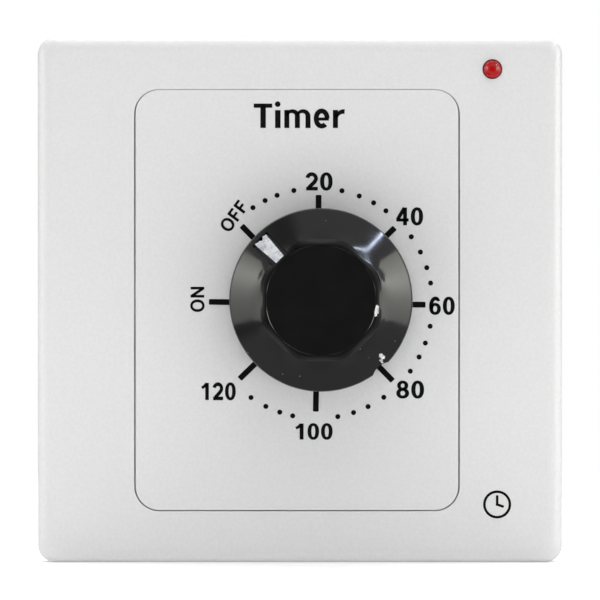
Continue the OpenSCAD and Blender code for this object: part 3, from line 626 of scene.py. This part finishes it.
inkBack, inkFront = faceY + dialShape["inkSunk"], faceY - dialShape["ink"]
printPoints, printFaces = [], []


def addPrint(points, faces):
    # gathers one more flat shape of ink
    count = sum(len(block) for block in printPoints)
    printPoints.append(np.asarray(points, float))
    printFaces.extend([tuple(i + count for i in face) for face in faces])


def flatShape(outline):
    # a closed prism of ink over an outline of (x, z) points
    outline = np.asarray(outline, float)
    count = len(outline)
    front, back = atDepth(outline, inkFront), atDepth(outline, inkBack)
    sides = [(i, (i + 1) % count, count + (i + 1) % count, count + i) for i in range(count)]
    addPrint(np.concatenate([front, back]),
             [tuple(range(count)), tuple(range(2 * count - 1, count - 1, -1)), *sides])


def polar(radius, angle):
    # a point of the dial from its centre; angle in degrees
    turn = np.radians(angle)
    return dialShape["centre"] + radius * np.array([np.cos(turn), np.sin(turn)])


half, corner = dialShape["tickWidth"] / 2, dialShape["tickCorner"]
start, end = dialShape["tickInner"], dialShape["tickOuter"]
tickOutline = [(start, -half), (end - corner, -half), (end, -half + corner),
               (end, half - corner), (end - corner, half), (start, half)]
for angle in dialShape["tickAngles"]:
    flatShape(turned(tickOutline, dialShape["centre"], angle + dialShape["lean"]))
dot = dialShape["dotRadius"] * unitCircle(24)
for angle in dialShape["dotAngles"]:
    flatShape(polar(dialShape["dotCircle"], angle) + dot)


def ribbon(path, width, place, closed=False):
    # a stroke of ink of the given width along a path; place puts letter units on the panel
    path = np.asarray(path, float)
    if closed:
        along = np.roll(path, -1, 0) - np.roll(path, 1, 0)
    else:
        along = np.gradient(path, axis=0)
    normal = np.column_stack([-along[:, 1], along[:, 0]])
    normal = normal / np.linalg.norm(along, axis=1)[:, None]
    half = np.broadcast_to(np.asarray(width, float) / 2, len(path))[:, None]
    left, right = place(path + normal * half), place(path - normal * half)
    loops = ((left, inkFront), (right, inkFront), (right, inkBack), (left, inkBack))
    points = np.stack([atDepth(edge, y) for edge, y in loops], 1)
    faces = gridFaces(len(path), 4, closed).tolist()
    if not closed:
        last = 4 * (len(path) - 1)
        faces += [[0, 1, 2, 3], [last + 3, last + 2, last + 1, last]]
    addPrint(points.reshape(-1, 3), faces)


def arc(x, z, radiusX, radiusZ, start, end, count=28, power=2.0):
    # part of an ellipse, squarer as power rises above 2; angles in degrees
    turn = np.radians(np.linspace(start, end, count))
    c, s = np.cos(turn), np.sin(turn)
    return np.column_stack([x + radiusX * np.sign(c) * np.abs(c) ** (2 / power),
                            z + radiusZ * np.sign(s) * np.abs(s) ** (2 / power)])


def loop(x, z, outX, outZ, side, top, power=2.2):
    # a closed round stroke from its outside half-size, thicker at the sides than at the top
    path = arc(x, z, outX - side / 2, outZ - top / 2, 0, 360, 49, power)[:-1]
    turn = np.radians(np.linspace(0, 360, 49)[:-1])
    return path, top + (side - top) * np.cos(turn) ** 2, True


def bar(x0, z0, x1, z1, width):
    return np.array([[x0, z0], [x1, z1]]), width, False


# every letter as strokes in units of its capital height, with its width
hook = np.concatenate([arc(0.335, 0.67, 0.235, 0.245, 172, -22, 20),
                       [[0.47, 0.45], [0.33, 0.31], [0.17, 0.15]]])
sixBack = np.concatenate([[[0.105, 0.34]], arc(0.36, 0.5, 0.255, 0.415, 170, 62, 16)])
letters = {
    "0": (0.67, [loop(0.335, 0.5, 0.335, 0.51, 0.215, 0.165, 2.3)]),
    "1": (0.47, [bar(0.36, 0, 0.36, 0.99, 0.215),
                 (np.array([[0.02, 0.7], [0.16, 0.77], [0.29, 0.9], [0.31, 0.97]]), 0.16, False)]),
    "2": (0.67, [(hook, 0.2, False), bar(0.03, 0.095, 0.67, 0.095, 0.19)]),
    "4": (0.7, [bar(0.47, 0.99, 0.085, 0.33, 0.19), bar(0.01, 0.3, 0.7, 0.3, 0.165),
                bar(0.5, 0, 0.5, 1.0, 0.2)]),
    "6": (0.67, [loop(0.345, 0.325, 0.325, 0.335, 0.205, 0.16, 2.1), (sixBack, 0.2, False),
                 (arc(0.36, 0.72, 0.2, 0.2, 100, 12, 10), 0.155, False)]),
    "8": (0.67, [loop(0.335, 0.73, 0.29, 0.28, 0.185, 0.155, 2.1),
                 loop(0.335, 0.29, 0.335, 0.3, 0.205, 0.16, 2.1)]),
    "O": (0.89, [loop(0.445, 0.5, 0.445, 0.51, 0.17, 0.155, 2.1)]),
    "F": (0.58, [bar(0.085, 0, 0.085, 1, 0.17), bar(0.0, 0.92, 0.58, 0.92, 0.155),
                 bar(0.0, 0.5, 0.53, 0.5, 0.15)]),
    "N": (0.76, [bar(0.08, 0, 0.08, 1, 0.16), bar(0.68, 0, 0.68, 1, 0.16),
                 bar(0.09, 0.93, 0.67, 0.07, 0.17)]),
    "Timer": (3.74, [
        bar(0, 0.921, 0.767, 0.921, 0.158), bar(0.388, 0, 0.388, 0.9, 0.205),
        bar(0.995, 0, 0.995, 0.738, 0.205), loop(0.99, 0.985, 0.11, 0.11, 0.108, 0.108, 2.0),
        bar(1.366, 0, 1.366, 0.745, 0.19), bar(1.803, 0, 1.803, 0.5, 0.19),
        bar(2.24, 0, 2.24, 0.5, 0.19),
        (arc(1.585, 0.49, 0.218, 0.205, 172, 0), np.linspace(0.1, 0.19, 28), False),
        (arc(2.022, 0.49, 0.218, 0.205, 172, 0), np.linspace(0.1, 0.19, 28), False),
        (arc(2.803, 0.39, 0.225, 0.31, 0, 312, 40, 2.1), 0.185, False),
        bar(2.65, 0.37, 3.1, 0.37, 0.115),
        bar(3.372, 0, 3.372, 0.745, 0.19),
        (arc(3.72, 0.4, 0.31, 0.28, 176, 84, 16), np.linspace(0.12, 0.18, 16), False)])}
usualGap, gapAfter = 0.13, {"1": 0.25, "O": 0.17, "F": 0.18}


def addWord(glyphs, centre, width, height, angle=0.0, bold=1.08):
    # letters in a row, stretched to a width and height and turned about their centre
    starts, edge = [], 0.0
    for glyph in glyphs:
        starts.append(edge)
        total = edge + letters[glyph][0]
        edge = total + gapAfter.get(glyph, usualGap)
    turn = math.radians(angle)
    matrix = np.array([[math.cos(turn), math.sin(turn)], [-math.sin(turn), math.cos(turn)]])
    for glyph, start in zip(glyphs, starts):
        def place(points, start=start):
            local = (points + [start - total / 2, -0.5]) * [width / total, height]
            return np.asarray(centre) + local @ matrix
        for path, thickness, closed in letters[glyph][1]:
            ribbon(path, np.asarray(thickness) * bold, place, closed)


# word, centre, width, height, then its angle and boldness where they differ
for row in (
        ("20", (3.11, 19.41), 4.4, 2.9), ("40", (17.94, 13.69), 4.4, 2.9),
        ("60", (23.24, -0.95), 4.15, 2.9), ("80", (18.05, -14.68), 4.5, 2.85),
        ("100", (2.29, -21.54), 6.05, 2.65), ("120", (-13.35, -14.97), 5.6, 2.85),
        ("OFF", (-10.85, 13.7), 5.3, 2.15, 53, 1.25), ("ON", (-16.8, 0.1), 4.05, 2.25, 90, 1.2),
        (["Timer"], (-0.16, 30.15), 14.85, 3.97, 0, 1.1)):
    addWord(*row)

# a small plain clock sign in the corner: a ring and two hands
signShape = dict(centre=(32.3, -33.5), radius=2.3, line=0.42, hands=((90, 1.5), (-20, 1.15)))
circle = unitCircle(64)
outer = signShape["centre"] + signShape["radius"] * circle
inner = signShape["centre"] + (signShape["radius"] - signShape["line"]) * circle
rings = np.stack([atDepth(outer, inkFront), atDepth(outer, inkBack),
                  atDepth(inner, inkBack), atDepth(inner, inkFront)])
addPrint(rings.reshape(-1, 3), gridFaces(4, len(circle), True).tolist())
half = signShape["line"] / 2
for angle, length in signShape["hands"]:
    outline = [(-half, -half), (length, -half), (length, half), (-half, half)]
    flatShape(turned(outline, signShape["centre"], angle))

dialPrint = outward(makeMesh("dialPrint", np.concatenate(printPoints), [printFaces]))
dialPrint.data.materials.append(printInk)
finishPiece(dialPrint, "timer_body", "black_abs")
print("dial print made:", len(dialPrint.data.polygons), "faces")


# knob

knobShape = dict(
    flutes=8, segments=384, outsideStep=0.25, insideStep=1.5,
    pointerAngle=135,
    coneStart=9.45, coneEnd=14.3,   # radii between which the pointer's side is taken
    slope=0.7071,                   # sine and cosine of the cone's 45 degrees
    grooveHalf=1.45, grooveDepth=0.36, grooveFlare=1.6, grooveStart=-0.05, grooveEnd=6.5,
    stripHalf=(0.85, 1.22),         # at its inner and outer end
    stripStart=0.02, stripEnd=6.25, stripSunk=0.05, stripClear=0.01, stripWorn=0.45,
    notchAngle=-49, notchRadius=3.0, notchAt=17.3,
    matteRadius=8.87, matteDepth=0.5,
    # painted highlights on the top's edge and beside the notch: angle, half-angle, radius and
    # half-width
    paintedHighlights=((-10.5, 6.2, 9.15, 0.3), (-42.6, 1.3, 13.5, 0.6), (-45.4, 1.0, 13.9, 0.4)),
    paintedHighlightDepth=5)

knobLow, knobHigh = boxOf("knob")
knobBack, knobFront = knobHigh[1], knobLow[1]
# outside from the middle of the top to the rim: radius, height above the rim, flute depth
knobOutside = np.array([
    [0.0, 14.9, 0], [6.0, 14.9, 0], [8.6, 14.9, 0], [8.86, 14.9, 0.05], [8.9, 14.93, 0.06],
    [8.96, 14.99, 0.07], [9.02, 15.0, 0.07], [9.12, 14.97, 0.08], [9.5, 14.85, 0.11],
    [9.75, 14.74, 0.16], [9.93, 14.66, 0.22], [9.97, 14.58, 0.23], [10.03, 14.52, 0.23],
    [10.09, 14.5, 0.23], [10.4, 14.2, 0.17], [10.8, 13.8, 0.09], [11.2, 13.4, 0.04],
    [11.6, 13.0, 0.0], [12.6, 12.0, 0], [13.4, 11.2, 0], [14.2, 10.4, 0], [14.62, 9.98, 0],
    [14.74, 9.85, 0], [14.84, 9.68, 0], [14.9, 9.45, 0], [15.0, 0.5, 0], [14.99, 0.2, 0],
    [14.9, 0.05, 0], [14.75, 0.0, 0]])
knobInside = np.array([
    [13.25, 0.0, 0], [13.2, 0.05, 0], [13.2, 8.5, 0], [9.2, 12.4, 0], [5.7, 12.4, 0],
    [5.6, 12.3, 0], [5.6, 0.1, 0], [5.5, 0.0, 0], [3.2, 0.0, 0], [3.05, 0.15, 0],
    [3.05, 12.8, 0], [0.0, 12.8, 0]])


def fluteWave(profile, turn):
    # eight shallow hollows: the radius falls by the flute depth at every 45 degrees
    depth = profile[:, 2]
    return -depth[:, None] * np.cos(knobShape["flutes"] * turn)[None, :]


def knobProfile():
    # (radius, depth along Y, flute depth)
    both = np.concatenate([spread(knobOutside, knobShape["outsideStep"]),
                           spread(knobInside, knobShape["insideStep"])])
    return np.column_stack([both[:, 0], knobBack - both[:, 1], both[:, 2]])


knob = revolve("knobShell", knobProfile(), spindleAt, knobShape["segments"], fluteWave)


def onKnob(along, across, lift):
    # a point on the knob's side at the pointer's angle: along runs down the cone from
    # its top, across to the side, and lift out of the surface
    onCone = ((knobOutside[:, 0] > knobShape["coneStart"])
              & (knobOutside[:, 0] < knobShape["coneEnd"]))
    side = knobOutside[onCone]
    radius, height = side[:, 0] - side[:, 2], side[:, 1]
    step = np.concatenate([[0], np.cumsum(np.hypot(np.diff(radius), np.diff(height)))])
    r = np.interp(along, step, radius) + knobShape["slope"] * lift
    h = np.interp(along, step, height) + knobShape["slope"] * lift
    turn = math.radians(knobShape["pointerAngle"])
    x = spindleAt[0] + r * math.cos(turn) - across * math.sin(turn)
    z = spindleAt[1] + r * math.sin(turn) + across * math.cos(turn)
    return np.stack([x, knobBack - h, z], -1)


def stripMesh(name, start, end, halves, low, high, worn=0.0, flare=1.0):
    # a bar that follows the cone: a grid along and across, front and back; its outer
    # end is worn by worn * (0.25 sin(9 v) - exp(-(v / 0.3)^2)), v running across it
    u = np.linspace(0, 1, 25)[:, None]
    v = np.linspace(-1, 1, 33)[None, :]
    lost = worn * (0.25 * np.sin(9 * v) - np.exp(-(v / 0.3) ** 2))
    along = start + (end + lost - start) * u
    across = (halves[0] + (halves[1] - halves[0]) * u) * v
    top = onKnob(along, across * flare, high)
    bottom = onKnob(along, across, low)
    rows, columns = along.shape
    topFaces = gridFaces(rows, columns, False, False)
    bottomFaces = topFaces[:, ::-1] + rows * columns
    edge = np.concatenate([np.arange(columns), np.arange(1, rows) * columns + columns - 1,
                           (rows - 1) * columns + np.arange(columns - 2, -1, -1),
                           np.arange(rows - 2, 0, -1) * columns])
    after = np.roll(edge, -1)
    sides = np.stack([edge, after, after + rows * columns, edge + rows * columns], -1)
    points = np.concatenate([top.reshape(-1, 3), bottom.reshape(-1, 3)])
    return outward(makeMesh(name, points, [topFaces, bottomFaces, sides]))


groove = stripMesh("groove", knobShape["grooveStart"], knobShape["grooveEnd"],
                   [knobShape["grooveHalf"]] * 2, -knobShape["grooveDepth"], 1.0,
                   flare=knobShape["grooveFlare"])
turn = math.radians(knobShape["notchAngle"])
aside = np.array([math.cos(turn), math.sin(turn)])
notch = rodMesh("notch", knobShape["notchRadius"], knobFront - 1, knobBack + 1,
                np.array(spindleAt) + knobShape["notchAt"] * aside, 48)
cutOrJoin(knob, [groove, notch], "DIFFERENCE")
knob.name = "knobBody"
knob.data.materials.clear()
for material in (knobGloss, knobMatte, knobPaintedHighlight):
    knob.data.materials.append(material)
centres = np.zeros(len(knob.data.polygons) * 3)
knob.data.polygons.foreach_get("center", centres)
centres = centres.reshape(-1, 3) / mm
offX, offZ = centres[:, 0] - spindleAt[0], centres[:, 2] - spindleAt[1]
reach, around = np.hypot(offX, offZ), np.degrees(np.arctan2(offZ, offX))
onTop = centres[:, 1] < knobFront + knobShape["matteDepth"]
# faces inside these patches take the pale material: painted highlights, not knocks
paintedHighlit = np.zeros(len(reach), bool)
for angle, halfAngle, radius, halfWidth in knobShape["paintedHighlights"]:
    paintedHighlit |= ((around - angle) / halfAngle) ** 2 + ((reach - radius) / halfWidth) ** 2 < 1
paintedHighlit &= centres[:, 1] < knobFront + knobShape["paintedHighlightDepth"]
matte = onTop & (reach < knobShape["matteRadius"])
index = np.where(paintedHighlit, 2, np.where(matte, 1, 0))
knob.data.polygons.foreach_set("material_index", index.astype(np.int32))
finishPiece(knob, "knob_assembly", "black_abs", ["knob"], 28)

pointer = stripMesh("pointerStrip", knobShape["stripStart"], knobShape["stripEnd"],
                    knobShape["stripHalf"], -knobShape["grooveDepth"] + knobShape["stripClear"],
                    -knobShape["stripSunk"], worn=knobShape["stripWorn"])
finishPiece(pointer, "knob_assembly", "silver_strip", ["knob_pointer_strip"])
print("knob made:", len(knob.data.polygons), "faces")


# indicator lamp

lampShape = dict(radius=1.5, flange=1.9, flangeDepth=1.0)
dome = np.linspace(0, math.pi / 2, 14)
lampProfile = np.concatenate([
    np.column_stack([lampShape["radius"] * np.sin(dome),
                     lampLow[1] + lampShape["radius"] * (1 - np.cos(dome))]),
    [[lampShape["radius"], lampHigh[1] - lampShape["flangeDepth"]],
     [lampShape["flange"], lampHigh[1] - lampShape["flangeDepth"]],
     [lampShape["flange"], lampHigh[1]], [0, lampHigh[1]]]])
lamp = revolve("indicatorLamp", lampProfile, lampAt, 96)
finishPiece(lamp, "timer_body", "red_lens", ["indicator_led"])
print("lamp made")


# stage, lights and camera

stageShape = dict(
    floorZ=-43.05, floorRadius=420, floorGlow=0.2,
    cameraDistance=1200, cameraLift=0.6,    # mm, and degrees above level
    viewWidth=98.28, sensor=36)

circle = stageShape["floorRadius"] * unitCircle(96)
floorPoints = np.column_stack([circle, np.full(len(circle), stageShape["floorZ"])])
floor = makeMesh("floor", floorPoints, [np.arange(len(circle))[None, :]])
material, tree, shader, place = startMaterial("whitePaper", "#FAFAFA", 0.9)
tint(tree, shader, place, "#F7F7F7", "#FCFCFC", 0.004)
shader.inputs["Emission Color"].default_value = (1, 1, 1, 1)
shader.inputs["Emission Strength"].default_value = stageShape["floorGlow"]
floor.data.materials.append(material)
floor.visible_glossy = False


def softbox(name, at, target, width, height, watts, glow=None, seen="glossy",
            tone=(1, 1, 1)):
    # an area light that either lights surfaces or is seen in their reflections;
    # glow is (share of its height, strength) for an uneven box
    light = bpy.data.lights.new(name, "AREA")
    light.color = tone
    if glow:
        light.use_nodes = True
        lightTree = light.node_tree
        across = addNode(lightTree, "ShaderNodeNewGeometry").outputs["Parametric"]
        up = addNode(lightTree, "ShaderNodeSeparateXYZ", None, {"Vector": across})
        lightTree.links.new(greyRamp(lightTree, up.outputs["Y"], glow, "B_SPLINE"),
                            lightTree.nodes["Emission"].inputs["Color"])
    light.shape, light.size, light.size_y, light.energy = "RECTANGLE", width, height, watts
    obj = bpy.data.objects.new(name, light)
    bpy.context.scene.collection.objects.link(obj)
    obj.location = at
    obj.rotation_euler = (Vector(target) - Vector(at)).to_track_quat("-Z", "Y").to_euler()
    obj.visible_camera = False
    obj.visible_diffuse = seen == "diffuse"
    obj.visible_glossy = seen == "glossy"


softbox("leftSoftbox", (-0.5, -0.14, 0.085), (0, -0.14, 0.085), 0.42, 0.47, 2.65,
        [(0.0, 0.22), (0.3, 0.3), (0.5, 0.55), (0.68, 1.0), (0.85, 0.6), (1.0, 0.4)],
        tone=(1, 1, 0.92))
softbox("rightSoftbox", (0.5, -0.16, 0.085), (0, -0.16, 0.085), 0.42, 0.47, 3.0,
        [(0.0, 0.25), (0.3, 0.4), (0.45, 0.68), (0.57, 0.96), (0.72, 0.72), (1.0, 0.4)],
        tone=(1, 1, 0.92))
softbox("edgeStrip", (0.35, -0.08, 0.37), (0, -0.08, 0), 0.5, 0.014, 0.58,
        tone=(0.8, 0.93, 1.2))
softbox("topSoftbox", (0, 0.2, 0.55), (0, 0, 0), 0.7, 0.3, 4.2, seen="diffuse")
softbox("frontSoftbox", (0.12, -1.0, 0.24), (0, 0, 0), 0.8, 0.5, 1.2, seen="diffuse")
softbox("browSoftbox", (0, -0.25, 0.5), (0, 0, 0), 0.8, 0.3, 1.15, seen="diffuse")

world = bpy.data.worlds.new("paleRoom")
bpy.context.scene.world = world
world.use_nodes = True
tree = world.node_tree
tree.nodes.clear()
direction = addNode(tree, "ShaderNodeTexCoord").outputs["Generated"]
axes = addNode(tree, "ShaderNodeSeparateXYZ", None, {"Vector": direction})

# from straight in front (0) to straight behind (1): dark, a bright band, then even
frontToBack = addNode(tree, "ShaderNodeMapRange", {"From Min": -1.0, "From Max": 1.0},
                      {"Value": axes.outputs["Y"]})
depthLevels = greyRamp(tree, frontToBack.outputs["Result"], [
    (0.0, 0.1), (0.07, 0.12), (0.16, 0.85), (0.26, 1.0), (0.34, 0.62), (1.0, 0.6)])
# round the room as seen from the front: 0 left, 0.25 below, 0.5 right, 0.75 above
faceOn = addNode(tree, "ShaderNodeCombineXYZ", None,
                 {"X": axes.outputs["X"], "Y": axes.outputs["Z"]})
sector = addNode(tree, "ShaderNodeTexGradient", None, {"Vector": faceOn.outputs["Vector"]},
                 gradient_type="RADIAL")
sectorLevels = greyRamp(tree, sector.outputs["Fac"], [
    (0.0, 0.8), (0.035, 0.75), (0.05, 0.35), (0.065, 0.35), (0.085, 0.72), (0.25, 0.62),
    (0.42, 0.7), (0.5, 1.0), (0.7, 0.9), (0.79, 0.9), (0.815, 0.35), (0.85, 0.35),
    (0.875, 0.85), (1.0, 0.8)])
fill = addNode(tree, "ShaderNodeMath", None, {0: depthLevels, 1: sectorLevels},
               operation="MULTIPLY")
room = addNode(tree, "ShaderNodeBackground", None, {"Strength": fill.outputs["Value"]})
paper = addNode(tree, "ShaderNodeBackground", {"Color": (1, 1, 1, 1), "Strength": 1.0})
room.inputs["Color"].default_value = (1, 1, 1, 1)
ray = addNode(tree, "ShaderNodeLightPath")
mix = addNode(tree, "ShaderNodeMixShader", None,
              {0: ray.outputs["Is Camera Ray"], 1: room.outputs[0], 2: paper.outputs[0]})
addNode(tree, "ShaderNodeOutputWorld", None, {"Surface": mix.outputs[0]})

camera = bpy.data.cameras.new("camera")
cameraObject = bpy.data.objects.new("camera", camera)
bpy.context.scene.collection.objects.link(cameraObject)
distance = stageShape["cameraDistance"] * mm
lift = math.radians(stageShape["cameraLift"])
aim = Vector((0.0, faceY * mm, 0.0))
cameraObject.location = aim + Vector((0, -distance * math.cos(lift), distance * math.sin(lift)))
cameraObject.rotation_euler = (aim - cameraObject.location).to_track_quat("-Z", "Y").to_euler()
camera.sensor_width = stageShape["sensor"]
camera.lens = stageShape["sensor"] * stageShape["cameraDistance"] / stageShape["viewWidth"]
camera.clip_start, camera.clip_end = 0.01, 20
bpy.context.scene.camera = cameraObject
bpy.context.scene.view_settings.view_transform = "Standard"
print("stage made")
